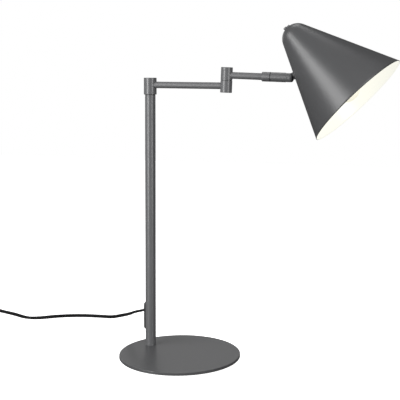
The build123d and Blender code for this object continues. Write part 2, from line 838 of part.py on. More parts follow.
# Cord, free from the outlet to the inline switch: it falls to the table behind the post and wanders left
switch_way = Vector(cos(radians(switch_heading)), sin(radians(switch_heading)), 0)
switch_in = Vector(-434.0, 108.5, switch_cord_height)
cord_points = [
    tuple(exit_point),
    tuple(exit_point + exit_way * exit_straight),
    (-115.0, 65.7, 36.4),
    (-155.8, 109.6, 17.6),
    (-186.4, 135.0, 6.9),
    (-211.1, 143.4, cord_low),
    (-247.4, 134.6, cord_low),
    (-281.9, 115.8, cord_low),
    (-305.6, 97.1, cord_low),
    (-328.4, 89.5, cord_low),
    (-358.4, 98.7, cord_low),
    (-392.6, 107.0, cord_low),
    tuple(switch_in - switch_way * switch_straight),
    tuple(switch_in),
]
with BuildPart() as cord_run:
    run_length, run_radii = flex(cord_points, cord_radius)
write(cord_run, "cord_run")

# Inline switch: two moulded shells round a rocker on a pin
switch_centre = switch_in + switch_way * (switch_length / 2)
switch_frame = Plane(origin=(switch_centre.X, switch_centre.Y, 0), x_dir=switch_way, z_dir=(0, 0, 1))
inner_size = (switch_length - 2 * switch_wall, switch_width - 2 * switch_wall)


def at_switch(x, y, height):
    """A level plane at a place in the switch, X along the cord."""
    origin = switch_frame.from_local_coords((x, y, height))
    return Plane(origin=origin, x_dir=switch_frame.x_dir, z_dir=(0, 0, 1))


with BuildPart() as switch_lower_shell:
    with BuildSketch(switch_frame):
        RectangleRounded(switch_length, switch_width, switch_corner)
    extrude(amount=switch_split)
    chamfer(switch_lower_shell.edges().group_by(Axis.Z)[0], edge_break)
    with BuildSketch(switch_frame.offset(switch_wall)):
        RectangleRounded(*inner_size, switch_corner - switch_wall)
    extrude(amount=switch_split, mode=Mode.SUBTRACT)
    for x, y in shell_screw_places:
        with Locations(at_switch(x, y, switch_wall)):
            Cylinder(shell_boss_radius, switch_split - switch_wall, align=base_up)
        bore(at_switch(x, y, 0), shell_screw_radius, switch_split)
        bore(at_switch(x, y, 0), shell_screw_head_radius, switch_wall)
write(switch_lower_shell, "switch_lower_shell")

roof = switch_height - switch_wall
with BuildPart() as switch_upper_shell:
    with BuildSketch(switch_frame.offset(switch_split)):
        RectangleRounded(switch_length, switch_width, switch_corner)
    extrude(amount=switch_height - switch_split)
    fillet(switch_upper_shell.edges().group_by(Axis.Z)[-1], switch_edge)
    with BuildSketch(switch_frame.offset(switch_split)):
        RectangleRounded(*inner_size, switch_corner - switch_wall)
    extrude(amount=roof - switch_split, mode=Mode.SUBTRACT)
    with Locations(at_switch(0, 0, switch_split)):
        Box(*rocker_window, switch_height, align=base_up, mode=Mode.SUBTRACT)
    for side in (-1, 1):
        with Locations(at_switch(0, side * rib_centre, rocker_axis_height - rib_drop)):
            Box(rib_length, 2 * rib_half, roof - rocker_axis_height + rib_drop, align=base_up)
    pin_plane = facing(switch_frame.from_local_coords((0, 0, rocker_axis_height)), switch_frame.y_dir)
    bore(pin_plane.offset(-rocker_pin_half), rocker_pin_radius, 2 * rocker_pin_half)
    for x, y in shell_screw_places:
        with Locations(at_switch(x, y, switch_split)):
            Cylinder(shell_boss_radius, roof - switch_split, align=base_up)
        bore(at_switch(x, y, switch_split), shell_screw_radius, roof - switch_split - 1)
write(switch_upper_shell, "switch_upper_shell")

with BuildPart() as switch_screws:
    for x, y in shell_screw_places:
        with Locations(at_switch(x, y, switch_wall)):
            Cylinder(shell_screw_radius, roof - switch_wall - 2, align=base_up)
        with Locations(at_switch(x, y, shell_screw_recess)):
            Cylinder(shell_screw_head_radius, switch_wall - shell_screw_recess, align=base_up)
            Box(3 * shell_screw_head_radius, screw_slot_width, 2 * screw_slot_depth, mode=Mode.SUBTRACT)
write(switch_screws, "switch_screws")

with BuildPart() as switch_contacts:
    for side in (-1, 1):
        with Locations(at_switch(-side * contact_along, side * contact_aside, switch_wall)):
            Box(*contact_size, align=base_up)
write(switch_contacts, "switch_contacts")

with BuildPart() as rocker_pin:
    with Locations(pin_plane):
        Cylinder(rocker_pin_radius, 2 * rocker_pin_half)
write(rocker_pin, "rocker_pin")

rocker_profile = [
    (-rocker_half_length, rocker_low),
    (rocker_half_length, rocker_low),
    (rocker_half_length, rocker_end_high),
    (rocker_dish_half, rocker_dish_high),
    (-rocker_dish_half, rocker_dish_high),
    (-rocker_half_length, rocker_end_high),
]
rocker_x = switch_frame.x_dir * cos(radians(rocker_tilt)) + Vector(0, 0, sin(radians(rocker_tilt)))
with BuildPart() as switch_rocker:
    with BuildSketch(Plane(origin=pin_plane.origin, x_dir=rocker_x, z_dir=-switch_frame.y_dir)):
        with BuildLine():
            Polyline(*rocker_profile, close=True)
        make_face()
    extrude(amount=rocker_half_width, both=True)
    bore(pin_plane.offset(-2 * rocker_half_width), rocker_pin_radius + running_gap, 4 * rocker_half_width)
write(switch_rocker, "switch_rocker")

# Coil of the spare cord, wound flat and held by a tie
switch_out = switch_in + switch_way * switch_length
coil_entry_radius = coil_mean_radius + coil_half_width - cord_radius
entry_point = switch_out + switch_way * coil_lead_in
coil_left = Vector(-switch_way.Y, switch_way.X, 0)
coil_centre = entry_point + coil_left * coil_entry_radius
coil_frame = Plane(origin=(coil_centre.X, coil_centre.Y, 0))
with BuildPart() as cord_coil:
    with BuildSketch(Plane(origin=coil_frame.origin, x_dir=(1, 0, 0), z_dir=(0, -1, 0))):
        with Locations((coil_mean_radius, coil_floor + coil_height / 2)):
            RectangleRounded(2 * coil_half_width, coil_height, cord_radius)
    revolve(axis=Axis(coil_frame.origin, (0, 0, 1)))
write(cord_coil, "cord_coil")

tie_bearing = Vector(cos(radians(tie_azimuth)), sin(radians(tie_azimuth)), 0)
tie_centre = coil_frame.origin + tie_bearing * coil_mean_radius + Vector(0, 0, coil_floor + coil_height / 2)
with BuildPart() as coil_tie:
    with Locations(Plane(origin=tie_centre, x_dir=tie_bearing, z_dir=(0, 0, 1))):
        Box(2 * (coil_half_width + tie_thickness), tie_width, coil_height + 2 * tie_thickness)
        Box(2 * coil_half_width, 2 * tie_width, coil_height, mode=Mode.SUBTRACT)
    add(cord_coil.part, mode=Mode.SUBTRACT)
write(coil_tie, "coil_tie")

tail_points = [tuple(switch_out), tuple(switch_out + switch_way * tail_straight), (-526.0, 114.6, 4.6)]
with BuildPart() as cord_tail:
    tail_length, tail_radii = flex(tail_points, cord_radius)
write(cord_tail, "cord_tail")

# Plug: flat two-pin, lying on its side next to the coil
plug_way = Vector(cos(radians(plug_heading)), sin(radians(plug_heading)), 0)
plug_tail = Vector(-466.0, 17.0, plug_axis_height)
plug_left = Vector(-plug_way.Y, plug_way.X, 0)
plug_frame = Plane(origin=plug_tail, x_dir=plug_left, z_dir=plug_way)
end_points = [
    (-531.0, 42.6, 9.6),
    (-504.0, 33.4, 8.6),
    tuple(plug_tail - plug_way * plug_straight),
    tuple(plug_tail),
]
with BuildPart() as cord_end:
    end_length, end_radii = flex(end_points, cord_radius)
write(cord_end, "cord_end")

relief_outline = [(0, 0), (plug_relief_tip, 0)]
for rib in range(plug_ribs):
    start = plug_rib_start + rib * plug_rib_pitch
    end = start + plug_rib_width
    crest = plug_rib_radius + rib * plug_rib_growth
    valley = crest - plug_rib_depth
    relief_outline += [(crest, start), (crest, end), (valley, end), (valley, start + plug_rib_pitch)]
relief_outline += [(plug_relief_root, plug_relief_length), (0, plug_relief_length)]
with BuildPart() as plug_relief:
    turn(plug_frame, relief_outline)
write(plug_relief, "plug_relief")

with BuildPart() as plug_body:
    with BuildSketch(plug_frame.offset(plug_relief_length)):
        SlotOverall(*plug_neck_size)
    with BuildSketch(plug_frame.offset(plug_shoulder)):
        SlotOverall(plug_width, 2 * plug_axis_height)
    loft()
    with BuildSketch(plug_frame.offset(plug_shoulder)):
        SlotOverall(plug_width, 2 * plug_axis_height)
    extrude(amount=plug_face - plug_shoulder)
write(plug_body, "plug_body")

with BuildPart() as plug_pins:
    for side in (-1, 1):
        foot = plug_frame.from_local_coords((side * plug_pin_spacing / 2, 0, plug_face))
        pin_outline = [
            (0, 0),
            (plug_core_radius, 0),
            (plug_core_radius, plug_sleeve_length),
            (plug_pin_radius, plug_sleeve_length),
            (plug_pin_radius, plug_pin_length - plug_pin_taper),
            (plug_pin_radius - plug_pin_taper, plug_pin_length),
            (0, plug_pin_length),
        ]
        turn(Plane(origin=foot, x_dir=plug_left, z_dir=plug_way), pin_outline)
write(plug_pins, "plug_pins")

with BuildPart() as plug_pin_sleeves:
    for side in (-1, 1):
        foot = plug_frame.from_local_coords((side * plug_pin_spacing / 2, 0, plug_face))
        ring(facing(foot, plug_way), plug_pin_radius, plug_core_radius, plug_sleeve_length)
write(plug_pin_sleeves, "plug_pin_sleeves")

print("cord lengths:", [round(length, 1) for length in (run_length, tail_length, end_length)])
cord_section = pi * cord_radius**2
for piece, length in ((cord_run, run_length), (cord_tail, tail_length), (cord_end, end_length)):
    print("volume over section times length:", round(piece.part.volume / (length * cord_section), 4))
print("cord arc radii:", [round(radius, 1) for radius in run_radii + tail_radii + end_radii])
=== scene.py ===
import math

import bmesh
import bpy
import numpy as np
from mathutils import Matrix, Vector


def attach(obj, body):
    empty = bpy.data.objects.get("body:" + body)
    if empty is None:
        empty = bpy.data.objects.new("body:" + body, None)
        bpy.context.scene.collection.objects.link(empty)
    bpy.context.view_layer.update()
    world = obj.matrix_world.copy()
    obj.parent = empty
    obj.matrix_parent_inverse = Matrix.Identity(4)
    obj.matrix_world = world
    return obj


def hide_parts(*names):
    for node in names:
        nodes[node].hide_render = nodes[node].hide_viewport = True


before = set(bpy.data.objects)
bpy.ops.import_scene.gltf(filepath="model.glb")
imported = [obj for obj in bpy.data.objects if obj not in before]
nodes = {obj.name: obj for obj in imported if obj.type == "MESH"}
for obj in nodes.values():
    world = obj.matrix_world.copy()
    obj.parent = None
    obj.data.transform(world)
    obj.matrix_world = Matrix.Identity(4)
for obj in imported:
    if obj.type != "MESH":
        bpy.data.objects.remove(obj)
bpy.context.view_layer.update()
scene = bpy.context.scene


# Camera. It stands in front of the lamp and to its right, level with the top of the post, with a long lens
# and a slight downward tilt; the lens shift keeps the post upright and the whole lamp in the frame.
camera_place = (0.5000, -1.1440, 0.4019)
camera_turn = 20.881
camera_tilt = 1.5
camera_lens = 75.77
camera_film_width = 36.0
camera_shift_across = -0.049
camera_shift_up = -0.2281
camera_nearest = 0.05
camera = bpy.data.objects.new("camera", bpy.data.cameras.new("camera"))
camera.data.lens = camera_lens
camera.data.sensor_width = camera_film_width
camera.data.shift_x = camera_shift_across
camera.data.shift_y = camera_shift_up
camera.data.clip_start = camera_nearest
camera.location = camera_place
camera.rotation_euler = (math.radians(90 - camera_tilt), 0, math.radians(camera_turn))
scene.collection.objects.link(camera)
scene.camera = camera
scene.view_settings.view_transform = "Standard"


# Mains cord: a flat two-core sheathed lead, 5.6 mm by 3.5 mm, black. It leaves the moulded outlet on the
# post, drops to the table behind the base, wanders left to the inline switch, and the spare length beyond
# the switch is wound into a flat coil of two layers with its turns on edge.
class Signal:
    """One number at each point of a surface; Python's operators add the Math nodes."""

    def __init__(self, finish, socket):
        self.finish = finish
        self.socket = socket

    def maths(self, operation, first, second):
        return self.finish.node("ShaderNodeMath", {"operation": operation}, {0: first, 1: second})

    def __add__(self, other):
        return self.maths("ADD", self, other)

    def __mul__(self, other):
        return self.maths("MULTIPLY", self, other)

    __radd__ = __add__


class Finish:
    """A surface finish. Plain numbers go straight to the shader's sockets, what varies is linked."""

    def __init__(self, name, **surface):
        self.material = bpy.data.materials.new(name)
        self.material.use_nodes = True
        self.tree = self.material.node_tree
        self.tree.nodes.clear()
        self.shader = self.tree.nodes.new("ShaderNodeBsdfPrincipled")
        ending = self.tree.nodes.new("ShaderNodeOutputMaterial")
        self.tree.links.new(self.shader.outputs[0], ending.inputs["Surface"])
        self.place = self.node("ShaderNodeTexCoord", out="Object")
        self.set(**surface)

    def feed(self, socket, value):
        if isinstance(value, Signal):
            self.tree.links.new(value.socket, socket)
        else:
            socket.default_value = value

    def node(self, kind, settings=None, sockets=None, out=0):
        made = self.tree.nodes.new(kind)
        for key, value in (settings or {}).items():
            setattr(made, key, value)
        for key, value in (sockets or {}).items():
            self.feed(made.inputs[key], value)
        return Signal(self, made.outputs[out])

    def set(self, **surface):
        for key, value in surface.items():
            self.feed(self.shader.inputs[key.replace("_", " ")], value)

    def noise(self, scale, detail=2.0, rough=0.5):
        sockets = {"Vector": self.place, "Scale": scale, "Detail": detail, "Roughness": rough}
        return self.node("ShaderNodeTexNoise", None, sockets)

    def blend(self, share, first, second):
        settings = {"data_type": "RGBA"}
        sockets = {"Factor": share, 6: (*first, 1), 7: (*second, 1)}
        return self.node("ShaderNodeMix", settings, sockets, out=2)

    def relief(self, height, depth):
        bump = self.node("ShaderNodeBump", None, {"Height": height, "Distance": depth, "Strength": 1.0})
        self.set(Normal=bump)


def paint(finish, *names):
    """Give CAD nodes a finish in place of the plain colour they were packed with."""
    for name in names:
        mesh = nodes[name].data
        mesh.materials.clear()
        mesh.materials.append(finish.material)


def add_piece(name, mesh, body, slot, *stands_for):
    """A finished mesh becomes a piece that rides on a body and stands for some CAD nodes."""
    piece = bpy.data.objects.new(name, mesh)
    scene.collection.objects.link(piece)
    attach(piece, body)
    if stands_for:
        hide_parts(*stands_for)
    return piece


def smooth_line(points, steps):
    """The points of the smooth line that the given points steer."""
    curve = bpy.data.curves.new("line", "CURVE")
    curve.dimensions = "3D"
    spline = curve.splines.new("NURBS")
    spline.points.add(len(points) - 1)
    for point, place in zip(spline.points, points):
        point.co = (*place, 1)
    spline.order_u = 3
    spline.use_endpoint_u = True
    spline.resolution_u = steps
    holder = bpy.data.objects.new("line", curve)
    scene.collection.objects.link(holder)
    mesh = bpy.data.meshes.new_from_object(holder)
    line = [vertex.co.copy() for vertex in mesh.vertices]
    bpy.data.objects.remove(holder)
    bpy.data.curves.remove(curve)
    bpy.data.meshes.remove(mesh)
    return line


cord_width = 0.0056
cord_thick = 0.0035
cord_waist = 0.88
core_points = 9
core_sweep = 80
on_edge = 90


def cord_section():
    """Outline of the lead, two round cores side by side with a shallow groove between them."""
    core = cord_thick / 2
    spread = cord_width / 2 - core
    outline = []
    for side in (1, -1):
        for step in range(core_points):
            angle = math.radians(core_sweep * (2 * step / (core_points - 1) - 1))
            outline.append((side * (spread + core * math.cos(angle)), side * core * math.sin(angle)))
        outline.append((0, side * core * cord_waist))
    return outline


def flat_cord(name, points, rolls, steps):
    """A mesh of the flat lead along a smooth line, rolled about it by so many degrees at each point."""
    line = smooth_line(points, steps)
    share = np.linspace(0, len(points) - 1, len(line))
    roll = np.radians(np.interp(share, range(len(points)), rolls))
    section = cord_section()
    mesh = bmesh.new()
    rings = []
    for index, place in enumerate(line):
        before = line[max(index - 1, 0)]
        after = line[min(index + 1, len(line) - 1)]
        ahead = (after - before).normalized()
        across = ahead.cross(Vector((0, 0, 1))).normalized()
        upward = across.cross(ahead)
        wide = across * math.cos(roll[index]) + upward * math.sin(roll[index])
        thick = upward * math.cos(roll[index]) - across * math.sin(roll[index])
        rings.append([mesh.verts.new(place + wide * x + thick * y) for x, y in section])
    for near, far in zip(rings, rings[1:]):
        for k in range(len(section)):
            n = (k + 1) % len(section)
            mesh.faces.new((near[k], far[k], far[n], near[n]))
    mesh.faces.new(rings[0])
    mesh.faces.new(reversed(rings[-1]))
    bmesh.ops.recalc_face_normals(mesh, faces=mesh.faces)
    for face in mesh.faces:
        face.smooth = len(face.verts) == 4
    made = bpy.data.meshes.new(name)
    mesh.to_mesh(made)
    mesh.free()
    return made, line


sheath_black = (0.004, 0.004, 0.0042)
sheath_black_worn = (0.008, 0.008, 0.0084)
sheath_wear = 35
sheath_grain = 1600
sheath_grain_depth = 0.00002
sheath = Finish("cord_sheath", IOR=1.4, Specular_IOR_Level=0.2)
handled = sheath.noise(sheath_wear, 3)
sheath.set(Base_Color=sheath.blend(handled, sheath_black, sheath_black_worn))
sheath.set(Roughness=0.46 + handled * 0.16)
sheath.relief(sheath.noise(sheath_grain, 2), sheath_grain_depth)

# The lead as it lies, from just inside the outlet to just inside the switch. Its rolls are in degrees: it
# leaves the outlet flat, stands on edge along the table but for one short stretch that lies nearly flat, and
# is flat again at the switch.
free_steps = 10
free_points = [
    (-0.0669, 0.0249, 0.0572),
    (-0.0915, 0.0340, 0.0495),
    (-0.1150, 0.0657, 0.0360),
    (-0.1558, 0.1096, 0.0176),
    (-0.1864, 0.1350, 0.0055),
    (-0.2110, 0.1410, 0.0031),
    (-0.2470, 0.1335, 0.0030),
    (-0.2820, 0.1160, 0.0029),
    (-0.3060, 0.0930, 0.0028),
    (-0.3290, 0.0890, 0.0022),
    (-0.3590, 0.1000, 0.0028),
    (-0.3926, 0.1070, 0.0031),
    (-0.4141, 0.1070, 0.0070),
    (-0.4340, 0.1085, 0.0070),
    (-0.4420, 0.1091, 0.0070),
]
free_rolls = [0, 35, 60, 80, on_edge, on_edge, on_edge, 85, 55, 15, 65, on_edge, 30, 0, 0]
free_mesh, free_line = flat_cord("lead", free_points, free_rolls, free_steps)
free_mesh.materials.append(sheath.material)
lead = add_piece("lead", free_mesh, "stand", "cord_sheath", "cord_run")

# The spare length: out of the switch, inwards round the lower layer, up, outwards round the upper one, and
# off the coil to the plug. The tie lifts the turns a little on its side.
spare_steps = 5
coil_centre = (-0.52828, 0.07916)
coil_start = 86.0
coil_turns = 6.5
coil_outer = 0.0360
coil_inner = 0.0234
coil_low = 0.0031
coil_layer = 0.0059
coil_tilt = 0.0004
points_per_turn = 14
tie_bearing = 150.0
spare_points = [
    (-0.4879, 0.1123, 0.0070),
    (-0.4959, 0.1128, 0.0070),
    (-0.5098, 0.1138, 0.0062),
]
spare_rolls = [0, 0, 40]
coil_steps = int(coil_turns * points_per_turn)
for step in range(coil_steps + 1):
    done = step / coil_steps
    bearing = math.radians(coil_start + 360 * coil_turns * done)
    inward = 1 - abs(1 - 2 * done)
    radius = (coil_outer + (coil_inner - coil_outer) * inward) / math.cos(math.pi / points_per_turn)
    climb = min(max((done - 0.5) * coil_turns * 2 + 0.5, 0), 1)
    rest = coil_tilt * (1 + math.cos(bearing - math.radians(tie_bearing)))
    height = coil_low + rest + coil_layer * climb
    x = coil_centre[0] + radius * math.cos(bearing)
    y = coil_centre[1] + radius * math.sin(bearing)
    spare_points.append((x, y, height))
    spare_rolls.append(on_edge)
spare_points += [
    (-0.5040, 0.0334, 0.0084),
    (-0.4836, 0.0207, 0.00685),
    (-0.4660, 0.0170, 0.00685),
    (-0.4600, 0.0157, 0.00685),
]
spare_rolls += [60, 0, 0, 0]
spare_mesh, spare_line = flat_cord("spare_lead", spare_points, spare_rolls, spare_steps)
spare_mesh.materials.append(sheath.material)
stood_for = ("cord_tail", "cord_coil", "cord_end")
spare_lead = add_piece("spare_lead", spare_mesh, "stand", "cord_sheath", *stood_for)


# Powder-coated metal: base plate, post, collar, rods, elbow drums, swivel barrel and tilt screw. Steel and
# aluminium pieces under one graphite-grey coat, baked on, with a fine even grain and a satin sheen. The base
# plate gets a darker copy of the coat and the two rods a slightly darker, duller one; the darkening is
# painted shade.
coat_grey = (0.110, 0.111, 0.1145)
coat_spread = 0.14
coat_drift = 14
coat_grain = 1700
coat_grain_depth = 0.00001
# Factors below one darken copies of the one coat: painted shade on the base plate, the rods and the shade
base_painted_shade_tone = 0.66
# The rods' slightly darker grey is painted shade; their higher roughness is real
rod_painted_shade_tone = 0.95
rod_roughness = 0.44


def powder_coat(name, painted_shade_factor=1.0, roughness=0.29):
    """The graphite coat, its grey scaled by a factor; a factor below one paints shade into a darker copy."""
    coat = Finish(name, IOR=1.5)
    drift = coat.noise(coat_drift, 3)
    grain = coat.noise(coat_grain, 2, 0.6)
    deep = [painted_shade_factor * (1 - coat_spread / 2) * level for level in coat_grey]
    pale = [painted_shade_factor * (1 + coat_spread / 2) * level for level in coat_grey]
    coat.set(Base_Color=coat.blend(drift * 0.5 + grain * 0.5, deep, pale))
    coat.set(Roughness=roughness + grain * 0.08 + drift * 0.04)
    coat.relief(grain, coat_grain_depth)
    return coat


graphite = powder_coat("graphite_coat")
base_coat_painted_darker = powder_coat("base_coat_painted_darker", base_painted_shade_tone)
rod_coat_duller_painted_darker = powder_coat("rod_coat_duller_painted_darker", rod_painted_shade_tone, rod_roughness)
paint(base_coat_painted_darker, "base_plate")
paint(rod_coat_duller_painted_darker, "lower_rod", "upper_rod")
paint(
    graphite,
    "post_tube",
    "post_collar",
    "elbow_lower_drum",
    "elbow_bottom_cap",
    "elbow_upper_drum",
    "elbow_top_cap",
    "swivel_ring",
    "swivel_barrel",
    "tilt_screw",
)

# Foot pad: a thin disc of closed-cell foam, black and a little smaller than the plate. It keeps the steel
# off the table and hides the head of the bolt that holds the post.
foam_black = (0.016, 0.016, 0.017)
foam_pale = (0.034, 0.034, 0.035)
foam_cells = 2200
foam_cell_depth = 0.00012
foam = Finish("foot_foam", Roughness=0.9)
cells = foam.noise(foam_cells, 1)
foam.set(Base_Color=foam.blend(cells, foam_black, foam_pale))
foam.relief(cells, foam_cell_depth)
paint(foam, "base_pad")

# Thrust washers: thin rings of black nylon at the three joints that turn, one at the collar, one between
# the elbow's drums and one at the swivel barrel. The pieces slide on them.
nylon_black = (0.02, 0.02, 0.02)
nylon_pale = (0.032, 0.032, 0.032)
nylon_cloud = 900
nylon = Finish("washer_nylon", Roughness=0.5)
nylon_haze = nylon.noise(nylon_cloud, 1)
nylon.set(Base_Color=nylon.blend(nylon_haze, nylon_black, nylon_pale))
paint(nylon, "collar_washer", "elbow_washer", "swivel_washer")

# Zinc-plated steel: the fixings inside the joints, which are the foot insert and bolt, the spigots and the
# pivot with their nuts, spring washer and grub screws, the lampholder's stem, and the switch's pin and
# screws. The bright plate is slightly streaked.
zinc_deep = (0.50, 0.50, 0.51)
zinc_pale = (0.66, 0.66, 0.65)
zinc_streak = 700
zinc = Finish("zinc_plate", Metallic=1.0)
streaks = zinc.noise(zinc_streak, 3)
zinc.set(Base_Color=zinc.blend(streaks, zinc_deep, zinc_pale))
zinc.set(Roughness=0.26 + streaks * 0.2)
paint(
    zinc,
    "post_foot_insert",
    "post_bolt",
    "post_spigot",
    "collar_grub_screw",
    "elbow_pivot",
    "elbow_spring_washer",
    "elbow_nut",
    "swivel_spigot",
    "barrel_grub_screw",
    "tongue_nut",
    "holder_stem",
    "rocker_pin",
    "switch_screws",
)

# Black plated metal: the tilt tongue between the swivel barrel and the shade, and the screw that fixes the
# cord outlet to the post.
plate_black = (0.016, 0.016, 0.017)
plate_pale = (0.034, 0.034, 0.036)
plate_cloud = 1200
blacked = Finish("black_plate", Metallic=0.0)
blacked_haze = blacked.noise(plate_cloud, 2)
blacked.set(Base_Color=blacked.blend(blacked_haze, plate_black, plate_pale))
blacked.set(Roughness=0.34 + blacked_haze * 0.14)
paint(blacked, "tilt_tongue", "outlet_screw")

# Crown screws: two round heads on the shade's dome, plated dark grey, which hold the lampholder's stem
screw_deep = (0.11, 0.11, 0.115)
screw_pale = (0.2, 0.2, 0.205)
screw_cloud = 1500
screw_grey = Finish("crown_screw_plate", Metallic=0.6)
screw_haze = screw_grey.noise(screw_cloud, 2)
screw_grey.set(Base_Color=screw_grey.blend(screw_haze, screw_deep, screw_pale))
screw_grey.set(Roughness=0.32 + screw_haze * 0.16)
paint(screw_grey, "crown_screws")


# Shade: spun from one aluminium disc 0.8 mm thick, a cone with a domed crown. It is powder-coated like the
# arms outside, in a darker copy of the coat that is painted shade, and enamelled warm white inside. The wall
# is left whole here, as the tongue's root and the crown screws hide the holes that they pass through.
shade_half_angle = math.radians(23.8)
shade_crown_radius = 0.0225
shade_mouth_radius = 0.0792
shade_wall = 0.0008
shade_tip = Vector((0.135775, 0.0216, 0.509916))
shade_axis = Vector((0.7034, 0, -0.7108))
shade_side = Vector((-0.7108, 0, -0.7034))
shade_segments = 160
shade_rings = 72
shade_seam = 0.000005
lampshade_painted_shade_tone = 0.60


class Shaper:
    """A Geometry Nodes tree made one node at a time, with named inputs for its sizes."""

    def __init__(self, name):
        self.tree = bpy.data.node_groups.new(name, "GeometryNodeTree")
        self.tree.interface.new_socket("Geometry", in_out="OUTPUT", socket_type="NodeSocketGeometry")
        self.inputs = self.tree.nodes.new("NodeGroupInput")
        self.ending = self.tree.nodes.new("NodeGroupOutput")
        self.identifiers = {}

    def size(self, name, kind="NodeSocketFloat"):
        item = self.tree.interface.new_socket(name, in_out="INPUT", socket_type=kind)
        self.identifiers[name] = item.identifier
        return self.inputs.outputs[name]

    def node(self, kind, settings=None, sockets=None, out=0):
        made = self.tree.nodes.new(kind)
        for key, value in (settings or {}).items():
            setattr(made, key, value)
        for key, value in (sockets or {}).items():
            if isinstance(value, bpy.types.NodeSocket):
                self.tree.links.new(value, made.inputs[key])
            else:
                made.inputs[key].default_value = value
        return made.outputs[out]

    def maths(self, operation, first, second=0.0):
        return self.node("ShaderNodeMath", {"operation": operation}, {0: first, 1: second})

    def finish(self, geometry, material):
        real = self.node("GeometryNodeRealizeInstances", None, {"Geometry": geometry})
        coated = self.node("GeometryNodeSetMaterial", None, {"Geometry": real, "Material": material})
        self.tree.links.new(coated, self.ending.inputs["Geometry"])

    def mesh(self, name, sizes):
        """Run the tree with these sizes and return the plain mesh that it makes."""
        holder = bpy.data.objects.new(name, bpy.data.meshes.new(name))
        scene.collection.objects.link(holder)
        modifier = holder.modifiers.new(name, "NODES")
        modifier.node_group = self.tree
        for key, value in sizes.items():
            modifier[self.identifiers[key]] = value
        graph = bpy.context.evaluated_depsgraph_get()
        made = bpy.data.meshes.new_from_object(holder.evaluated_get(graph), depsgraph=graph)
        holder.modifiers.remove(modifier)
        bpy.data.objects.remove(holder)
        made.name = name
        return made


# The spun cone as a rule: the distance along the wall is split into a part on the dome and a part on the
# cone, and each adds its own share to the radius and to the height.
spinning = Shaper("spun_shade")
dome = spinning.size("Dome radius")
cone = spinning.size("Half angle")
mouth = spinning.size("Mouth radius")
around = spinning.size("Segments", "NodeSocketInt")
along = spinning.size("Rings", "NodeSocketInt")
sheet = spinning.node(
    "GeometryNodeMeshGrid", None, {"Size X": 1.0, "Size Y": 1.0, "Vertices X": around, "Vertices Y": along}
)
spot = spinning.node("GeometryNodeInputPosition")
across_sheet = spinning.node("ShaderNodeSeparateXYZ", None, {0: spot}, out=0)
down_sheet = spinning.node("ShaderNodeSeparateXYZ", None, {0: spot}, out=1)
turned = spinning.maths("MULTIPLY", across_sheet, 2 * math.pi)
dome_angle = spinning.maths("SUBTRACT", math.pi / 2, cone)
dome_length = spinning.maths("MULTIPLY", dome, dome_angle)
dome_rim = spinning.maths("MULTIPLY", dome, spinning.maths("COSINE", cone))
slant = spinning.maths("DIVIDE", spinning.maths("SUBTRACT", mouth, dome_rim), spinning.maths("SINE", cone))
share_down = spinning.maths("ADD", down_sheet, 0.5)
distance = spinning.maths("MULTIPLY", share_down, spinning.maths("ADD", dome_length, slant))
on_dome = spinning.maths("DIVIDE", spinning.maths("MINIMUM", distance, dome_length), dome)
on_cone = spinning.maths("MAXIMUM", spinning.maths("SUBTRACT", distance, dome_length), 0.0)
radius = spinning.maths(
    "ADD",
    spinning.maths("MULTIPLY", dome, spinning.maths("SINE", on_dome)),
    spinning.maths("MULTIPLY", on_cone, spinning.maths("SINE", cone)),
)
dome_centre = spinning.maths("DIVIDE", dome, spinning.maths("SINE", cone))
dome_drop = spinning.maths("MULTIPLY", dome, spinning.maths("COSINE", on_dome))
cone_drop = spinning.maths("MULTIPLY", on_cone, spinning.maths("COSINE", cone))
depth = spinning.maths("ADD", spinning.maths("SUBTRACT", dome_centre, dome_drop), cone_drop)
spun = spinning.node(
    "ShaderNodeCombineXYZ",
    None,
    {
        0: spinning.maths("MULTIPLY", radius, spinning.maths("COSINE", turned)),
        1: spinning.maths("MULTIPLY", radius, spinning.maths("SINE", turned)),
        2: depth,
    },
)
shaped = spinning.node("GeometryNodeSetPosition", None, {"Geometry": sheet, "Position": spun})
closed = spinning.node("GeometryNodeMergeByDistance", None, {"Geometry": shaped, "Distance": shade_seam})
even = spinning.node("GeometryNodeSetShadeSmooth", None, {"Geometry": closed})

# A darker copy of the graphite coat for the shade's outside: painted shade
lampshade_coat_painted_darker = powder_coat("lampshade_coat_painted_darker", lampshade_painted_shade_tone)
spinning.finish(even, lampshade_coat_painted_darker.material)
shade_sizes = {
    "Dome radius": shade_crown_radius,
    "Half angle": shade_half_angle,
    "Mouth radius": shade_mouth_radius,
    "Segments": shade_segments + 1,
    "Rings": shade_rings,
}
shade_mesh = spinning.mesh("shade_shell", shade_sizes)
into_row = Matrix.Identity(4)
for column, direction in enumerate((shade_side, shade_axis.cross(shade_side), shade_axis)):
    into_row.col[column][:3] = direction
into_row.col[3][:3] = shade_tip
shade_mesh.transform(into_row)

# The enamel inside: its glow stands for the bulb's light on it, so its own colours are kept low
enamel_deep = (0.30, 0.29, 0.25)
enamel_pale = (0.34, 0.33, 0.29)
enamel_glow_colour = (1.0, 1.0, 0.92, 1)
enamel_glow = 0.76
enamel = Finish("shade_enamel", IOR=1.5)
enamel_drift = enamel.noise(30, 2)
enamel.set(Base_Color=enamel.blend(enamel_drift, enamel_deep, enamel_pale))
enamel.set(Roughness=0.3 + enamel_drift * 0.1)
enamel.set(Emission_Color=enamel_glow_colour, Emission_Strength=enamel_glow)
shade_mesh.materials.append(enamel.material)


def apply_modifiers(piece):
    """Replace a piece's mesh with what its modifiers make of it."""
    graph = bpy.context.evaluated_depsgraph_get()
    made = bpy.data.meshes.new_from_object(piece.evaluated_get(graph), depsgraph=graph)
    piece.modifiers.clear()
    piece.data = made


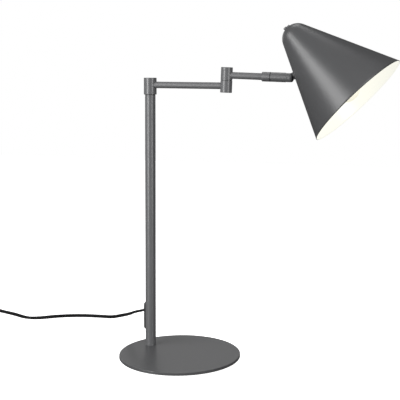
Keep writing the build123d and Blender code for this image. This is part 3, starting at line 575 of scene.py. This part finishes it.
# An open shell has no inside of its own: if a face halfway down looks at the axis, all are turned round
halfway = shade_mesh.polygons[len(shade_mesh.polygons) // 2]
axis_point = shade_tip + shade_axis * (halfway.center - shade_tip).dot(shade_axis)
if halfway.normal.dot(halfway.center - axis_point) < 0:
    shade_mesh.flip_normals()
shade_shell = add_piece("shade_shell", shade_mesh, "head", "shade_paint", "shade")
wall = shade_shell.modifiers.new("wall", "SOLIDIFY")
wall.thickness = shade_wall
wall.offset = -1
wall.material_offset = 1
wall.material_offset_rim = 0
wall.use_even_offset = True
apply_modifiers(shade_shell)

# Bulb: a round opal glass lamp, lit, which screws into the holder. Its glow is warm and even.
opal_deep = (0.46, 0.44, 0.38)
opal_pale = (0.50, 0.48, 0.42)
opal_glow_colour = (1.0, 0.97, 0.80, 1)
opal_glow = 0.72
glow = Finish("opal_glass", Roughness=0.25, IOR=1.5)
glow_haze = glow.noise(40, 1)
glow.set(Base_Color=glow.blend(glow_haze, opal_deep, opal_pale))
glow.set(Emission_Color=opal_glow_colour, Emission_Strength=opal_glow)
paint(glow, "bulb_glass")

# Lampholder: a white heat-resistant moulding on the stem that the crown screws hold
holder_deep = (0.74, 0.73, 0.69)
holder_pale = (0.8, 0.79, 0.76)
holder_grain = 2600
holder_grain_depth = 0.00002
holder_white = Finish("holder_moulding", Roughness=0.4, IOR=1.5)
holder_haze = holder_white.noise(300, 2)
holder_white.set(Base_Color=holder_white.blend(holder_haze, holder_deep, holder_pale))
holder_white.relief(holder_white.noise(holder_grain, 1), holder_grain_depth)
paint(holder_white, "lampholder")

# Nickelled brass, pressed or turned: the holder's thread sleeve, the bulb's small screw cap, the contacts
# inside the switch and the plug's two pins
brass_deep = (0.66, 0.60, 0.44)
brass_pale = (0.76, 0.72, 0.6)
brass_cloud = 500
brass = Finish("nickelled_brass", Metallic=1.0)
brass_haze = brass.noise(brass_cloud, 2)
brass.set(Base_Color=brass.blend(brass_haze, brass_deep, brass_pale))
brass.set(Roughness=0.24 + brass_haze * 0.18)
paint(brass, "lampholder_sleeve", "bulb_cap", "switch_contacts", "plug_pins")

# Wires inside the post and the two rods, and the lead from the tongue to the holder: black, and given the
# cord's own sheath. They stop short of each turning joint.
paint(sheath, "post_wire", "lower_arm_wire", "upper_arm_wire", "holder_lead")

# Black mouldings: the cord outlet's saddle, the inline switch's shells and rocker, the plug with its strain
# relief and pin sleeves, and the tie round the coil. The plug, the relief and the rocker are copies with
# their edges rounded.
moulding_black = (0.010, 0.010, 0.0105)
moulding_pale = (0.019, 0.019, 0.02)
moulding_spark = 1800
moulding_spark_depth = 0.00004
moulding = Finish("black_moulding", IOR=1.5)
spark = moulding.noise(moulding_spark, 2)
moulding.set(Base_Color=moulding.blend(spark, moulding_black, moulding_pale))
moulding.set(Roughness=0.44 + spark * 0.12)
moulding.relief(spark, moulding_spark_depth)
paint(moulding, "cord_outlet", "switch_lower_shell", "switch_upper_shell", "plug_pin_sleeves", "coil_tie")
plug_ease = 0.0012
relief_ease = 0.0003
rocker_ease = 0.0005
ease_segments = 3
sharp_angle = math.radians(35)
same_place = 1e-6


def eased(name, cad_name, ease, body, slot):
    """A copy of a moulding with its sharp edges rounded, which stands for the CAD node."""
    work = bmesh.new()
    work.from_mesh(nodes[cad_name].data)
    bmesh.ops.remove_doubles(work, verts=work.verts, dist=same_place)
    bmesh.ops.recalc_face_normals(work, faces=work.faces)
    mesh = bpy.data.meshes.new(name)
    work.to_mesh(mesh)
    work.free()
    mesh.transform(nodes[cad_name].matrix_world)
    mesh.materials.clear()
    mesh.materials.append(moulding.material)
    piece = add_piece(name, mesh, body, slot, cad_name)
    softening = piece.modifiers.new("ease", "BEVEL")
    softening.width = ease
    softening.segments = ease_segments
    softening.limit_method = "ANGLE"
    softening.angle_limit = sharp_angle
    softening.use_clamp_overlap = True
    apply_modifiers(piece)
    return piece


plug_shell = eased("plug_shell", "plug_body", plug_ease, "stand", "black_plastic")
plug_ribs = eased("plug_ribs", "plug_relief", relief_ease, "stand", "flex_relief")
eased("rocker_cap", "switch_rocker", rocker_ease, "rocker", "black_plastic")

# Table: a wide white sheet just below the foot pad. It shines only towards the camera, and it gives little
# light back up at the lamp.
table_size = 6.0
table_drop = -0.0003
table_grey = (0.12, 0.12, 0.12)
table_pale = (0.8, 0.8, 0.8)
table_shine = 1.1
table_mesh = bpy.data.meshes.new("table")
half = table_size / 2
corners = [(half * x, half * y, table_drop) for x, y in ((-1, -1), (1, -1), (1, 1), (-1, 1))]
table_mesh.from_pydata(corners, [], [(0, 1, 2, 3)])
table = bpy.data.objects.new("table", table_mesh)
scene.collection.objects.link(table)
table_white = Finish("table_white", Roughness=0.7)
straight = table_white.node("ShaderNodeLightPath", out="Is Camera Ray")
table_white.set(Base_Color=table_white.blend(straight, table_grey, table_pale))
table_white.set(Emission_Color=(1, 1, 1, 1), Emission_Strength=straight * table_shine)
table_mesh.materials.append(table_white.material)

# Light: soft rectangles that all face the lamp's middle from one distance, in a dim room that looks white
# only to the camera
lamp_middle = Vector((0.05, 0.02, 0.28))
light_distance = 1.5


def soft_light(name, bearing, rise, width, height, power):
    """A light of so many watts, its bearing in degrees to the camera's left and its rise above level."""
    light = bpy.data.lights.new(name, "AREA")
    light.shape = "RECTANGLE"
    light.size = width
    light.size_y = height
    light.energy = power
    lamp = bpy.data.objects.new(name, light)
    heading = math.radians(camera_turn - 90 - bearing)
    level = math.cos(math.radians(rise))
    towards = Vector((level * math.cos(heading), level * math.sin(heading), math.sin(math.radians(rise))))
    lamp.location = lamp_middle + towards * light_distance
    lamp.rotation_euler = towards.to_track_quat("Z", "Y").to_euler()
    scene.collection.objects.link(lamp)


soft_light("left_strip", 48, 2, 0.18, 0.56, 12)
soft_light("left_middle", 45, 25, 0.20, 0.30, 2.4)
soft_light("left_high", 70, 29, 0.70, 0.70, 13)
soft_light("right_strip", -43, 2, 0.16, 0.60, 8.5)
soft_light("front_top", -15, 50, 0.90, 0.70, 7)
soft_light("back_left", 165, 15, 1.50, 0.50, 1.8)
soft_light("back_high", 180, 68, 0.60, 0.60, 3.5)

room_level = 0.12
backdrop_level = 1.0
sky = bpy.data.worlds.new("studio")
sky.use_nodes = True
backdrop = sky.node_tree.nodes["Background"]
backdrop.inputs["Color"].default_value = (1, 1, 1, 1)
seen = sky.node_tree.nodes.new("ShaderNodeLightPath")
room = sky.node_tree.nodes.new("ShaderNodeMapRange")
room.inputs["To Min"].default_value = room_level
room.inputs["To Max"].default_value = backdrop_level
sky.node_tree.links.new(seen.outputs["Is Camera Ray"], room.inputs["Value"])
sky.node_tree.links.new(room.outputs["Result"], backdrop.inputs["Strength"])
scene.world = sky
